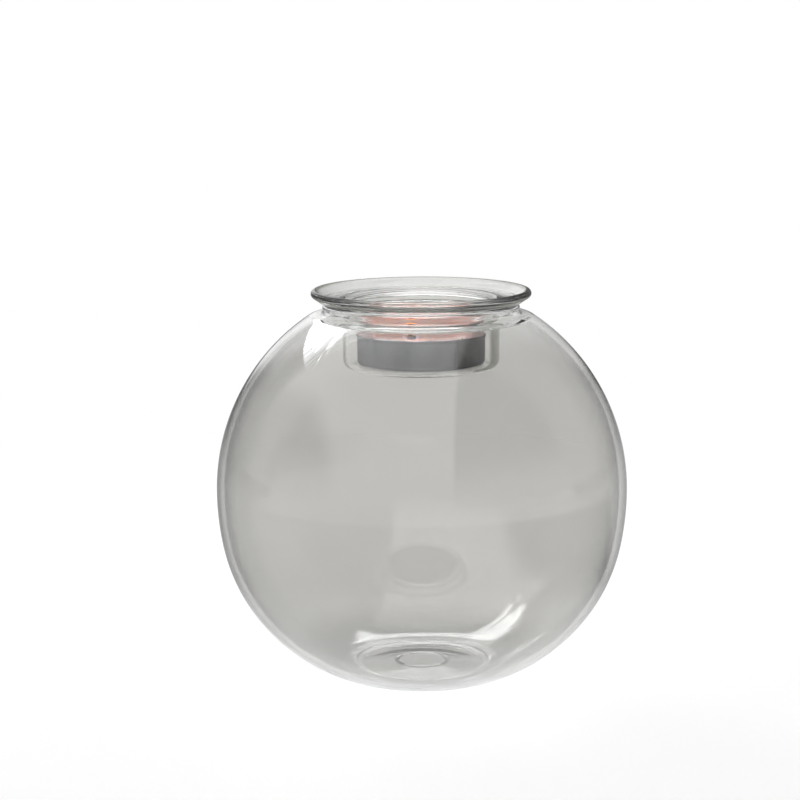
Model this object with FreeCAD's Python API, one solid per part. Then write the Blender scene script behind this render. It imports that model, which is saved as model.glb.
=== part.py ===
"""Glass globe candle holder with a hanging candle cup as its lid.

The globe stands on Z = 0 with its axis on the Z axis, in millimetres. The lid
rests on the lip of the globe, and its cup holds a small candle in a metal cup.
The front of the object is the -Y side, where the wax has melted away.
"""

import FreeCAD, Part
import math
import os

Vector = FreeCAD.Vector
UP = Vector(0, 0, 1)

# Candle: a pressed metal cup with a curled lip.
metal_cup_radius = 19.25
metal_cup_height = 9.5
metal_sheet = 0.3
metal_cup_round = 1.9
lip_curl = 0.3
panel_margin = 4.75
panel_rise = 0.6
panel_round = 0.4

# Wax: it stands above the metal cup all round, but for a melted front.
wax_gap = 0.05
wax_stand = 4.1
wax_wall = 1.9
wax_wall_slope = 1.2
wax_edge_round = 0.6
pool_drop = 2.2
pool_round = 1.2
melted_half_angle = 52.0
melted_drop = 0.25

# Wick and the sheet metal foot that holds it.
wick_offset = 2.9
wick_radius = 0.75
wick_stand = 5.0
wick_lean = 2.0
wick_tip_round = 0.35
wick_gap = 0.05
wick_foot_radius = 6.5
wick_foot_sheet = 0.35
wick_neck_radius = 1.3
wick_neck_stand = 1.6

# Lid: a flange with an upturned rim, and a candle cup hanging from it.
candle_clearance = 2.55
lid_wall = 1.8
lid_cup_drop = 19.7
lid_floor = 1.1
lid_cup_round = 3.0
lid_inner_round = 1.9
flange_wall = 2.0
flange_angle = 3.0
flange_reach = 0.1
flange_root_round = 1.2
mouth_round = 1.4
rim_wall = 2.4
rim_angle = 34.0
rim_turn_round = 2.5
rim_overhang = 3.5
lid_seat_gap = 0.15

# Globe: a blown ball that is a little fuller at its sides than a true sphere.
globe_radius = 62.35
base_radius = 24.2
upper_fullness = 1.17
side_arc = 83.0
side_turn = 11.5
globe_wall = 2.2
floor_thickness = 2.6
heel_round = 16.0
inner_heel_round = 14.0

# Neck: a short collar with a fully rounded lip on a flattened shoulder.
neck_clearance = 3.9
ledge_width = 3.7
ledge_rise = 0.5
shoulder_round = 4.0
collar_height = 2.8
collar_root_round = 1.2

# Underside: a shallow hollow inside the ring that the globe stands on.
foot_ring_width = 2.5
foot_hollow_depth = 1.1
pontil_radius = 7.5
pontil_depth = 0.3

# Radii that follow, from the candle outwards.
lid_cup_inner = metal_cup_radius + candle_clearance
lid_cup_radius = lid_cup_inner + lid_wall
neck_bore_radius = lid_cup_radius + neck_clearance
collar_radius = neck_bore_radius + globe_wall
shoulder_radius = collar_radius + ledge_width
rim_radius = collar_radius + rim_overhang
panel_radius = metal_cup_radius - panel_margin
wax_radius = metal_cup_radius - metal_sheet - wax_gap

# Heights that follow, from the base up to the lip and down to the candle.
equator_height = math.sqrt(globe_radius ** 2 - base_radius ** 2)
upper_arc = globe_radius + upper_fullness
upper_centre = (-upper_fullness, equator_height)
upper_reach = shoulder_radius + upper_fullness
shoulder_height = equator_height + math.sqrt(upper_arc ** 2 - upper_reach ** 2)
lip_round = globe_wall / 2.0
ledge_height = shoulder_height + ledge_rise
ledge_angle = math.atan2(ledge_rise, ledge_width)
lip_height = ledge_height + collar_height
lip_centre = (collar_radius - lip_round, lip_height - lip_round)
lid_cup_bottom = lip_height - lid_cup_drop
candle_seat = lid_cup_bottom + lid_floor
metal_lip_level = candle_seat + metal_cup_height
wax_top = metal_lip_level + wax_stand
pool_level = metal_lip_level - pool_drop
panel_seat = candle_seat + panel_rise + metal_sheet


def point(radius, height):
    """A point of a half section, in the plane through the axis."""
    return Vector(radius, 0, height)


def line(start, end):
    """A straight edge of a half section."""
    return Part.LineSegment(point(*start), point(*end)).toShape()


class ProfileArc:
    """A round stretch of a half section: its centre and its radius."""

    def __init__(self, centre, radius):
        self.centre = centre
        self.radius = radius

    @classmethod
    def leaving(cls, start, inward, end):
        """The arc that leaves a start square to a direction and passes an end."""
        reach = (end[0] - start[0], end[1] - start[1])
        along = reach[0] * inward[0] + reach[1] * inward[1]
        radius = (reach[0] ** 2 + reach[1] ** 2) / (2.0 * along)
        centre = (start[0] + radius * inward[0], start[1] + radius * inward[1])
        return cls(centre, radius)

    def inset(self, amount):
        """The parallel arc nearer to the centre."""
        return ProfileArc(self.centre, self.radius - amount)

    def at(self, angle):
        """The place on the arc at an angle above level."""
        across = self.radius * math.cos(angle)
        above = self.radius * math.sin(angle)
        return (self.centre[0] + across, self.centre[1] + above)

    def angle_at_height(self, height):
        """The angle at which the arc's outer side reaches a height."""
        return math.asin((height - self.centre[1]) / self.radius)

    def angle_at_radius(self, radius):
        """The angle at which the arc's upper side reaches a radius."""
        return math.acos((radius - self.centre[0]) / self.radius)

    def angle_at_slope(self, height, slope):
        """The angle at which the upper side meets a line that falls away from the axis.

        The line has a height on the axis and falls by a slope towards the outside.
        """
        above = height - self.centre[1]
        spread = 1.0 + slope ** 2
        half = self.centre[0] + slope * above
        rest = self.centre[0] ** 2 + above ** 2 - self.radius ** 2
        return self.angle_at_radius((half + math.sqrt(half ** 2 - spread * rest)) / spread)

    def edge(self, start, end):
        """The edge of the arc between two angles."""
        places = [self.at(start), self.at((start + end) / 2.0), self.at(end)]
        return Part.Arc(*[point(*place) for place in places]).toShape()


side_angle = math.radians(side_turn)
side = ProfileArc((globe_radius - side_arc, equator_height), side_arc)
upper = ProfileArc(upper_centre, upper_arc)
lower = ProfileArc.leaving(
    side.at(-side_angle), (-math.cos(side_angle), math.sin(side_angle)), (base_radius, 0.0)
)
lip = ProfileArc(lip_centre, lip_round)


def turned(edges):
    """Turn a closed half section about the axis into a solid."""
    face = Part.Face(Part.Wire(edges))
    return face.revolve(Vector(0, 0, 0), UP, 360)


def rounded_section(corners):
    """Closed edges through corners (radius, height, rounding), in order."""
    starts = []
    ends = []
    edges = []
    for index, (radius, height, rounding) in enumerate(corners):
        corner = point(radius, height)
        before = point(*corners[index - 1][:2])
        after = point(*corners[(index + 1) % len(corners)][:2])
        if rounding <= 0:
            starts.append(corner)
            ends.append(corner)
            continue
        to_before = (before - corner).normalize()
        to_after = (after - corner).normalize()
        half = to_before.getAngle(to_after) / 2.0
        bisector = (to_before + to_after).normalize()
        middle = corner + bisector * (rounding / math.sin(half) - rounding)
        starts.append(corner + to_before * (rounding / math.tan(half)))
        ends.append(corner + to_after * (rounding / math.tan(half)))
        edges.append(Part.Arc(starts[-1], middle, ends[-1]).toShape())
    for index, end in enumerate(ends):
        start = starts[(index + 1) % len(corners)]
        if end.distanceToPoint(start) > 1e-6:
            edges.append(Part.LineSegment(end, start).toShape())
    return Part.__sortEdges__(edges)


def fitted_round(wanted, room, turn):
    """A rounding for a corner that turns by an angle, kept within its wall."""
    return min(wanted, 0.95 * room / math.tan(turn / 2.0))


def round_ring(solid, radius, height, rounding):
    """Round the circular edge of a turned solid at a radius and a height."""
    chosen = []
    for edge in solid.Edges:
        curve = edge.Curve
        if not isinstance(curve, Part.Circle):
            continue
        same_radius = abs(curve.Radius - radius) < 0.01
        same_height = abs(curve.Center.z - height) < 0.01
        if same_radius and same_height:
            chosen.append(edge)
    return solid.makeFillet(rounding, chosen)


def body_curve(inset, bottom_height, top_radius):
    """Edges of the ball's side from its bottom to its top, set in from the outside."""
    low = lower.inset(inset)
    high = upper.inset(inset)
    return [
        low.edge(low.angle_at_height(bottom_height), -side_angle),
        side.inset(inset).edge(-side_angle, 0.0),
        high.edge(0.0, high.angle_at_radius(top_radius)),
    ]


def globe_outside():
    """The outer form of the globe, solid, up to the top of its lip."""
    wall_top = (collar_radius, lip_centre[1])
    shoulder = (shoulder_radius, shoulder_height)
    ledge = (collar_radius, ledge_height)
    edges = [line((0, 0), (base_radius, 0))]
    edges += body_curve(0.0, 0.0, shoulder_radius)
    edges += [line(shoulder, ledge), line(ledge, wall_top)]
    edges += [lip.edge(0.0, math.pi / 2.0)]
    edges += [line((lip_centre[0], lip_height), (0, lip_height)), line((0, lip_height), (0, 0))]
    solid = turned(edges)
    root_turn = math.pi / 2.0 - ledge_angle
    root_round = fitted_round(collar_root_round, lip_centre[1] - ledge_height, root_turn)
    crown_turn = root_turn - upper.angle_at_radius(shoulder_radius)
    crown_round = fitted_round(shoulder_round, ledge_width / 2.0, crown_turn)
    solid = round_ring(solid, base_radius, 0.0, heel_round)
    solid = round_ring(solid, shoulder_radius, shoulder_height, crown_round)
    return round_ring(solid, collar_radius, ledge_height, root_round)


def globe_inside():
    """The hollow of the globe, which follows its outside from the floor out through the neck."""
    low = lower.inset(globe_wall)
    high = upper.inset(globe_wall)
    floor_radius = low.at(low.angle_at_height(floor_thickness))[0]
    slope = math.tan(ledge_angle)
    ledge_at_axis = ledge_height + collar_radius * slope - globe_wall / math.cos(ledge_angle)
    crown_angle = high.angle_at_slope(ledge_at_axis, slope)
    crown = high.at(crown_angle)
    neck = (neck_bore_radius, ledge_at_axis - neck_bore_radius * slope)
    edges = [line((0, floor_thickness), (floor_radius, floor_thickness))]
    edges += body_curve(globe_wall, floor_thickness, crown[0])
    edges += [line(crown, neck), line(neck, (neck_bore_radius, lip_centre[1]))]
    edges += [lip.edge(math.pi, math.pi / 2.0)]
    edges += [line((lip_centre[0], lip_height), (0, lip_height))]
    edges += [line((0, lip_height), (0, floor_thickness))]
    solid = turned(edges)
    room = min(lip_centre[1] - neck[1], (crown[0] - neck[0]) / 2.0)
    neck_round = fitted_round(collar_root_round + globe_wall, room, math.pi / 2.0 - ledge_angle)
    crown_turn = math.pi / 2.0 - ledge_angle - crown_angle
    crown_round = fitted_round(shoulder_round - globe_wall, room, crown_turn)
    solid = round_ring(solid, floor_radius, floor_thickness, inner_heel_round)
    solid = round_ring(solid, crown[0], crown[1], crown_round)
    return round_ring(solid, neck[0], neck[1], neck_round)


def foot_hollow():
    """The shallow dome under the base, with the small round mark in its middle."""
    heel_turn = math.pi / 2.0 + lower.angle_at_height(0.0)
    heel_run = heel_round * math.tan(heel_turn / 2.0)
    rim = base_radius - heel_run - foot_ring_width
    dome_radius = (rim ** 2 + foot_hollow_depth ** 2) / (2.0 * foot_hollow_depth)
    dome = Part.makeSphere(dome_radius, point(0, foot_hollow_depth - dome_radius))
    below = Part.makeCylinder(rim, foot_hollow_depth, point(0, 0), UP)
    mark_top = foot_hollow_depth + pontil_depth
    mark = Part.makeCylinder(pontil_radius, mark_top, point(0, 0), UP)
    mark = round_ring(mark, pontil_radius, mark_top, pontil_depth)
    return dome.common(below).fuse(mark)


def globe():
    """The blown glass globe, open at its neck."""
    return globe_outside().cut(globe_inside()).cut(foot_hollow())


def lid():
    """The glass lid: a flange with an upturned rim, and its candle cup, in one piece."""
    lean = math.radians(flange_angle)
    rise = math.radians(rim_angle)
    seat_reach = lip_round + lid_seat_gap
    seat_radius = lip_centre[0] - seat_reach * math.sin(lean)
    seat_height = lip_centre[1] + seat_reach * math.cos(lean)
    under_axis = seat_height - seat_radius * math.tan(lean)
    turn_radius = collar_radius + flange_reach
    turn_height = under_axis + turn_radius * math.tan(lean)
    bead = rim_wall / 2.0
    bead_radius = rim_radius - bead
    bead_height = turn_height + (bead_radius - turn_radius) * math.tan(rise) + bead / math.cos(rise)
    end_radius = bead_radius + bead * math.cos(rise)
    end_height = bead_height + bead * math.sin(rise)
    across = bead * math.sin(rise)
    above = bead * math.cos(rise)
    top_axis = under_axis + flange_wall / math.cos(lean)
    inner_gain = turn_height - turn_radius * math.tan(rise) + rim_wall / math.cos(rise) - top_axis
    inner_turn = inner_gain / (math.tan(lean) - math.tan(rise))
    corners = [
        (0, lid_cup_bottom, 0),
        (lid_cup_radius, lid_cup_bottom, lid_cup_round),
        (lid_cup_radius, under_axis + lid_cup_radius * math.tan(lean), flange_root_round),
        (turn_radius, turn_height, rim_turn_round),
        (end_radius + across, end_height - above, bead),
        (end_radius - across, end_height + above, bead),
        (inner_turn, top_axis + inner_turn * math.tan(lean), rim_turn_round),
        (lid_cup_inner, top_axis + lid_cup_inner * math.tan(lean), mouth_round),
        (lid_cup_inner, candle_seat, lid_inner_round),
        (0, candle_seat, 0),
    ]
    return turned(rounded_section(corners))


def panel_corners(offset):
    """Corners of the pressed floor and side of the metal cup, set in by an offset."""
    spread = math.tan(math.radians(22.5)) * offset
    panel_top = candle_seat + panel_rise + offset
    floor_top = candle_seat + offset
    return [
        (0, panel_top, 0),
        (panel_radius + spread, panel_top, panel_round),
        (panel_radius + panel_rise + spread, floor_top, panel_round),
        (metal_cup_radius - offset, floor_top, metal_cup_round - offset),
    ]


def metal_cup():
    """The pressed metal candle cup with its curled lip."""
    wall_top = metal_lip_level - lip_curl
    wall_inner = metal_cup_radius - metal_sheet
    corners = panel_corners(0.0)
    corners += [(metal_cup_radius, wall_top, 0), (wall_inner, wall_top, 0)]
    corners += reversed(panel_corners(metal_sheet))
    cup = turned(rounded_section(corners))
    curl = Part.makeTorus(wall_inner + lip_curl, lip_curl, point(0, wall_top), UP)
    return cup.fuse(curl).removeSplitter()


def melted_front():
    """The room above the metal lip where the front of the wax has melted away."""
    low_level = metal_lip_level - melted_drop
    height = wax_top - low_level + wax_stand
    turn = 2.0 * melted_half_angle
    sector = Part.makeCylinder(2.0 * wax_radius, height, point(0, low_level), UP, turn)
    sector.rotate(Vector(0, 0, 0), UP, -90.0 - melted_half_angle)
    return sector


def wax():
    """The wax: it stands above the metal cup, hollowed, and melted low in front."""
    rim_inner = wax_radius - wax_wall
    corners = panel_corners(metal_sheet + wax_gap)
    corners += [
        (wax_radius, wax_top, wax_edge_round),
        (rim_inner, wax_top, wax_edge_round),
        (rim_inner - wax_wall_slope, pool_level, pool_round),
        (0, pool_level, 0),
    ]
    body = turned(rounded_section(corners))
    return body.cut(melted_front()).cut(wick_room())


wick_direction = Vector(-math.sin(math.radians(wick_lean)), 0, math.cos(math.radians(wick_lean)))
wick_floor = Vector(-wick_offset, 0, panel_seat)
wick_base = wick_floor + UP * wick_foot_sheet
wick_length = pool_level + wick_stand - wick_base.z
wick_neck_height = pool_level + wick_neck_stand - panel_seat


def thread(gap):
    """The round rod of the wick, grown by a gap."""
    return Part.makeCylinder(wick_radius + gap, wick_length, wick_base, wick_direction)


def foot_blank(gap):
    """The foot's disc and neck before the wick's hole, grown by a gap."""
    disc = Part.makeCylinder(wick_foot_radius + gap, wick_foot_sheet + gap, wick_floor, UP)
    neck = Part.makeCylinder(wick_neck_radius + gap, wick_neck_height + gap, wick_floor, UP)
    return disc.fuse(neck)


def wick_room():
    """The room that the wick and its foot take up in the wax."""
    return foot_blank(wax_gap).fuse(thread(wax_gap))


def wick_foot():
    """The sheet metal foot that holds the wick upright."""
    return foot_blank(0.0).cut(thread(wick_gap)).removeSplitter()


def wick():
    """The wick, from its foot up out of the wax."""
    solid = thread(0.0)
    middle = wick_base.z + wick_length / 2.0
    tips = [edge for edge in solid.Edges if edge.BoundBox.ZMin > middle]
    return solid.makeFillet(wick_tip_round, tips)


pieces = {
    "globe": globe,
    "lid": lid,
    "candle_cup": metal_cup,
    "candle_wax": wax,
    "wick": wick,
    "wick_foot": wick_foot,
}

os.makedirs("parts", exist_ok=True)
for name, make in pieces.items():
    shape = make()
    shape.exportStep("parts/" + name + ".step")
    print(name, len(shape.Solids), shape.isValid(), round(shape.Volume, 1), shape.BoundBox)
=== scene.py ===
"""Looks of the glass candle holder: fine meshes, finishes, studio and camera.

The globe, the lid and the metal cup are turned from the same sizes as the
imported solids. The wax, the wick and the flame are shaped here. Sizes of the
object are in millimetres and are turned into metres where a mesh or a node is
made. The studio is in metres.
"""

import logging
import math
import random
from dataclasses import dataclass
from enum import Enum
from typing import Any, Callable, Mapping, Sequence

import bpy
from mathutils import Matrix, Vector, noise


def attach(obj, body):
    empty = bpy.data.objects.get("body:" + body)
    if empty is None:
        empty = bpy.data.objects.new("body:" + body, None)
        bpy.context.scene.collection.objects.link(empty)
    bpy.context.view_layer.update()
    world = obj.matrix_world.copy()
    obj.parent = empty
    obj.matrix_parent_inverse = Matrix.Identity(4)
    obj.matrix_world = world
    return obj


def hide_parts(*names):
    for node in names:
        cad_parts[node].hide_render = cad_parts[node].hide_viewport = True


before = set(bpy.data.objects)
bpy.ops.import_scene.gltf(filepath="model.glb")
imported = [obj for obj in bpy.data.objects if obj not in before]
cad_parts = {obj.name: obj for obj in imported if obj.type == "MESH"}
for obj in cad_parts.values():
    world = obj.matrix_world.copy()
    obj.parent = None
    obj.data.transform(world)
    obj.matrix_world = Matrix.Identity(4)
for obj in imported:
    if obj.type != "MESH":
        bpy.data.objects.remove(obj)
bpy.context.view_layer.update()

MM = 0.001
BODY = "root"
PHOTO_WIDTH = 800.0
BOUNCES = 32
ARC_DEGREES = 9.0
ARC_STEP = 0.9
UP = Vector((0.0, 0.0, 1.0))
LOG = logging.getLogger("candle_holder")

Point = tuple[float, float]
Span = tuple[float, float]
Edges = tuple[float, float, float, float]
Section = list[Point]
Triple = tuple[float, float, float]
Colour = tuple[float, float, float]
Socket = bpy.types.NodeSocket


class Slot(Enum):
    """Material slots of the record."""

    GLOBE = "globe_glass"
    LID = "lid_glass"
    METAL = "candle_metal"
    WAX = "wax"
    THREAD = "wick_thread"
    FOOT = "wick_metal"


# Shader maths.


class Value:
    """A number socket on which shader maths is written as an expression."""

    def __init__(self, tree: "Tree", socket: Socket) -> None:
        """Wrap an output socket of a tree."""
        self.tree = tree
        self.socket = socket

    def maths(self, operation: str, other: Any = 0.0) -> "Value":
        """Add a Math node on this value and another."""
        return self.tree.value("ShaderNodeMath", {"operation": operation}, {0: self, 1: other})

    def __add__(self, other: Any) -> "Value":
        """Sum."""
        return self.maths("ADD", other)

    def __sub__(self, other: Any) -> "Value":
        """Difference."""
        return self.maths("SUBTRACT", other)

    def __rsub__(self, other: Any) -> "Value":
        """Difference from a number."""
        return self.tree.value("ShaderNodeMath", {"operation": "SUBTRACT"}, {0: other, 1: self})

    def __mul__(self, other: Any) -> "Value":
        """Product."""
        return self.maths("MULTIPLY", other)

    __radd__ = __add__
    __rmul__ = __mul__

    def least(self, other: Any) -> "Value":
        """The smaller of two values."""
        return self.maths("MINIMUM", other)

    def most(self, other: Any) -> "Value":
        """The larger of two values."""
        return self.maths("MAXIMUM", other)

    def rise(self, low: float, high: float) -> "Value":
        """A smooth step from 0 at a low value to 1 at a high one."""
        sockets = {"Value": self, "From Min": low, "From Max": high}
        return self.tree.value("ShaderNodeMapRange", {"interpolation_type": "SMOOTHSTEP"}, sockets)

    def fall(self, low: float, high: float) -> "Value":
        """A smooth step from 1 at a low value to 0 at a high one."""
        return 1.0 - self.rise(low, high)

    def between(self, edges: Edges) -> "Value":
        """A step up between the first two numbers and down between the last two."""
        return self.rise(*edges[:2]) * self.fall(*edges[2:])


class Tree:
    """A node tree that is filled by one method for every kind of node."""

    def __init__(self, tree: bpy.types.NodeTree) -> None:
        """Empty a node tree and wrap it."""
        self.tree = tree
        self.tree.nodes.clear()

    def node(
        self,
        kind: str,
        settings: Mapping[str, Any] | None = None,
        sockets: Mapping[Any, Any] | None = None,
    ) -> bpy.types.Node:
        """Add a node.

        Args:
            kind: Blender's type name of the node.
            settings: Properties that are set first; "stops" holds a ramp's places and colours.
            sockets: Input names or numbers, each with a constant, a value or an output socket.

        Returns:
            The new node.
        """
        made = self.tree.nodes.new(kind)
        for name, setting in (settings or {}).items():
            if name == "stops":
                self._set_stops(made.color_ramp, setting)
            else:
                setattr(made, name, setting)
        for name, content in (sockets or {}).items():
            if isinstance(content, Value):
                content = content.socket
            if isinstance(content, Socket):
                self.tree.links.new(content, made.inputs[name])
            else:
                made.inputs[name].default_value = content
        return made

    @staticmethod
    def _set_stops(ramp: bpy.types.ColorRamp, stops: Sequence[tuple[float, Colour]]) -> None:
        """Give a colour ramp its stops.

        Args:
            ramp: The ramp.
            stops: Place and colour of each stop, in order.
        """
        while len(ramp.elements) > 1:
            ramp.elements.remove(ramp.elements[-1])
        for index, (place, colour) in enumerate(stops):
            element = ramp.elements[0] if index == 0 else ramp.elements.new(place)
            element.position = place
            element.color = rgba(colour)

    def value(
        self,
        kind: str,
        settings: Mapping[str, Any] | None = None,
        sockets: Mapping[Any, Any] | None = None,
        output: Any = 0,
    ) -> Value:
        """Add a node and wrap one of its outputs, for maths on it."""
        return Value(self, self.node(kind, settings, sockets).outputs[output])

    def ray(self, flag: str) -> Value:
        """What the Light Path node says of the ray that looks."""
        return self.value("ShaderNodeLightPath", output=flag)

    def facing(self) -> Value:
        """How far the surface faces away, from 0 head on to 1 edge on."""
        return self.value("ShaderNodeLayerWeight", None, {"Blend": 0.5}, "Facing")

    def mix(self, share: Any, first: Any, second: Any) -> Socket:
        """Mix two colours, of which each is three numbers or a socket."""
        sockets = {0: share, 6: rgba(first), 7: rgba(second)}
        return self.node("ShaderNodeMix", {"data_type": "RGBA"}, sockets).outputs[2]

    def blend(self, share: Any, first: Socket, second: Socket) -> Socket:
        """Mix two shaders."""
        return self.node("ShaderNodeMixShader", None, {0: share, 1: first, 2: second}).outputs[0]

    def glow(self, level: Any) -> Socket:
        """A shader that is white or grey by itself, at a number or value."""
        colour = level if isinstance(level, Value) else (level, level, level, 1.0)
        return self.node("ShaderNodeEmission", None, {"Color": colour}).outputs[0]

    def place(self, scale: Triple = (1.0, 1.0, 1.0)) -> Socket:
        """A point's place on the object in metres, stretched along the axes."""
        sockets = {"Vector": self.node("ShaderNodeTexCoord").outputs["Object"], "Scale": scale}
        return self.node("ShaderNodeMapping", None, sockets).outputs[0]

    def axes(self, vector: Socket) -> tuple[Value, Value, Value]:
        """The three numbers of a vector as values."""
        across, along, above = self.node("ShaderNodeSeparateXYZ", None, {0: vector}).outputs
        return Value(self, across), Value(self, along), Value(self, above)

    def spot(self) -> tuple[Value, Value, Value]:
        """A point's place on the object in millimetres."""
        return self.axes(self.place((1.0 / MM, 1.0 / MM, 1.0 / MM)))

    def grain(self, size: float, detail: float = 3.0, scale: Triple = (1.0, 1.0, 1.0)) -> Value:
        """Noise from 0 to 1 with spots of about a size in millimetres."""
        sockets = {"Vector": self.place(scale), "Scale": 1.0 / (size * MM), "Detail": detail}
        return self.value("ShaderNodeTexNoise", None, sockets)

    def streaks(self, across: Value, along: Value, seed: float) -> Value:
        """Make noise from 0 to 1 with spots of about 1 in each of two values.

        Args:
            across: The first value.
            along: The second value.
            seed: A number that picks the pattern.

        Returns:
            The noise.
        """
        spot = self.node("ShaderNodeCombineXYZ", None, {0: across, 1: along, 2: seed})
        sockets = {"Vector": spot.outputs[0], "Scale": 1.0, "Detail": 3.0}
        return self.value("ShaderNodeTexNoise", None, sockets)

    def bump(self, height: Value, depth: float) -> Socket:
        """A normal from a height, with the depth in millimetres at height 1."""
        sockets = {"Height": height, "Distance": depth * MM, "Strength": 1.0}
        return self.node("ShaderNodeBump", None, sockets).outputs[0]

    def end(self, shader: Socket, kind: str = "ShaderNodeOutputMaterial") -> None:
        """Close the tree with its output node."""
        self.node(kind, None, {"Surface": shader})


def rgba(colour: Any) -> Any:
    """Give three numbers of a colour their fourth, and leave a socket as it is."""
    return (*colour, 1.0) if isinstance(colour, tuple) else colour


def distance(across: Value, along: Value) -> Value:
    """How far a point is from the axis."""
    return (across * across + along * along).maths("POWER", 0.5)


# Finishes.


@dataclass(frozen=True)
class Finish:
    """What all finishes share: a name, and a tree that ends in one shader."""

    name: str

    def sockets(self, tree: Tree) -> dict[str, Any]:
        """The values and links of the shader's sockets."""
        raise NotImplementedError

    def material(self) -> bpy.types.Material:
        """Build the material.

        Returns:
            The new material.
        """
        made = bpy.data.materials.new(self.name)
        made.use_nodes = True
        tree = Tree(made.node_tree)
        shader = tree.node("ShaderNodeBsdfPrincipled", None, self.sockets(tree))
        tree.end(shader.outputs[0])
        return made


@dataclass(frozen=True)
class BlownGlass(Finish):
    """Fire-polished glass, tinted lighter or darker by height, whose tint deepens where it is seen
    edge on: partly the longer path through the wall, partly painted shade.

    Attributes:
        low_tint: Colour of light that has gone through one wall, below the fade.
        high_tint: The same above the fade.
        fade: Heights between which the tint changes.
        foot_tint: Colour at the foot.
        foot_fade: Heights between which the foot's colour gives way.
        edge_shade_tint: Colour through a wall that is seen edge on: partly the longer path through
            the tint, partly painted shade.
        edge_shade_from: Share of facing away at which the painted edge shade begins.
        edge_shade_to: Share of facing away at which the painted edge shade is full.
        wave_size: Width of the slow waves of the surface.
        wave_depth: Depth of those waves.
        slope_shade_tint: Colour through a wall seen at a slant, just inside the edge: partly the
            longer path through the tint, partly painted shade.
        slope_shade_from: Share of facing away at which that painted shade begins.
        right_shade_slip: How much further out the painted edge shade begins on the right side,
            which is shaded differently.
        right_shade_fade: Places across between which that grows.
        edge_band: Heights between which the painted edge shade rises, and between which it ends.
        crown_highlight_tint: Painted highlight at the edges above that, where the wall turns in;
            white unless given.
        crown_highlight_range: Shares of facing away between which the painted highlight grows.
        rings: Radii of faint rings in the foot, which bend what shows through it.
        ring_half: Half of a ring's width.
        ring_depth: Height of a ring.
        rim_radius: Radius outside which the rim takes the painted edge shade, if only parts do.
        rim_front: Share of the painted edge shade that the rim takes in front and behind; its left
            and right ends take it all.
        cup_radius: Radius outside which the hanging cup takes it where it is seen edge on.
        cup_height: Height under which the cup counts as hanging.
        cup_range: Shares of facing away between which the cup's edge grows.
    """

    low_tint: Colour
    high_tint: Colour
    fade: Span
    foot_tint: Colour
    foot_fade: Span
    edge_shade_tint: Colour
    edge_shade_from: float
    edge_shade_to: float
    wave_size: float
    wave_depth: float
    slope_shade_tint: Colour = (1.0, 1.0, 1.0)
    slope_shade_from: float = 0.0
    right_shade_slip: float = 0.0
    right_shade_fade: Span = (-5.0, 40.0)
    edge_band: Edges | None = None
    crown_highlight_tint: Colour = (1.0, 1.0, 1.0)
    crown_highlight_range: Span = (0.5, 0.68)
    rings: tuple[float, ...] = ()
    ring_half: float = 0.9
    ring_depth: float = 0.18
    rim_radius: float = 0.0
    rim_front: float = 0.4
    cup_radius: float = 0.0
    cup_height: float = 0.0
    cup_range: Span = (0.68, 0.78)

    def sockets(self, tree: Tree) -> dict[str, Any]:
        """Tint the glass by height, paint shade and highlights on it by how it is seen, and wave
        its surface.

        Args:
            tree: The material's nodes.

        Returns:
            The values and links of the shader's sockets.
        """
        facing = tree.facing()
        across, along, above = tree.spot()
        radius = distance(across, along)
        # Painted shade that differs on the right side: the edge shade starts further out there and
        # the painted highlight is weaker.
        right = across.rise(*self.right_shade_fade)
        slip = self.right_shade_slip * right
        # Painted shade where the wall is seen edge on, partly standing for the longer path through
        # the tinted glass.
        edge = (facing - slip).rise(self.edge_shade_from, self.edge_shade_to)
        if self.rim_radius:
            edge = self._rim_and_cup(facing, across, above, radius, edge)
        tint = tree.mix(above.rise(*self.fade), self.low_tint, self.high_tint)
        if self.edge_band:
            # Painted highlight: the upper edges, where the wall turns in, are tinted towards
            # white, less on the right.
            crown = facing.rise(*self.crown_highlight_range) * above.rise(*self.edge_band[2:])
            tint = tree.mix(crown * (1.0 - 0.8 * right), tint, self.crown_highlight_tint)
            band = above.between(self.edge_band)
            edge = edge * band
            # Painted shade in a band just inside the edge, partly the longer path through the
            # tint.
            slope_shade = (facing - 2.5 * slip).rise(self.slope_shade_from, self.edge_shade_from)
            tint = tree.mix(slope_shade * band, tint, self.slope_shade_tint)
        tint = tree.mix(above.fall(*self.foot_fade), tint, self.foot_tint)
        waves = tree.grain(self.wave_size, 2.0, (1.0, 1.0, 0.55)) * self.wave_depth
        for ring in self.rings:
            beside = radius - ring
            ridge = beside.between((-self.ring_half, 0.0, 0.0, self.ring_half))
            waves = waves + ridge * above.fall(3.5, 4.5) * self.ring_depth
        return {
            "Base Color": tree.mix(edge, tint, self.edge_shade_tint),
            "Roughness": 0.0,
            "IOR": 1.5,
            "Transmission Weight": 1.0,
            "Normal": tree.bump(waves, 1.0),
        }

    def _rim_and_cup(
        self, facing: Value, across: Value, above: Value, radius: Value, edge: Value
    ) -> Value:
        """Keep the painted edge shade to the lid's rim, fullest at its left and right ends, and to
        the sides of its hanging cup, a little more on the right.

        Args:
            facing: How far the surface faces away.
            across: Place to the right.
            above: Height.
            radius: Distance from the axis.
            edge: The painted edge shade's share everywhere.

        Returns:
            The share where it stays.
        """
        # Painted shade: the rim's left and right ends are darker than its front and back, and the
        # cup's sides darker where seen edge on.
        aside = across.maths("ABSOLUTE").rise(0.4 * self.rim_radius, 0.8 * self.rim_radius)
        rim = radius.rise(self.rim_radius - 1.0, self.rim_radius)
        rim = rim * (self.rim_front + (1.0 - self.rim_front) * aside)
        cup = above.fall(self.cup_height - 2.0, self.cup_height)
        cup = cup * radius.rise(self.cup_radius - 0.2, self.cup_radius)
        return edge * rim + (facing + 0.2 * across.rise(-1.0, 1.0)).rise(*self.cup_range) * cup


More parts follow.
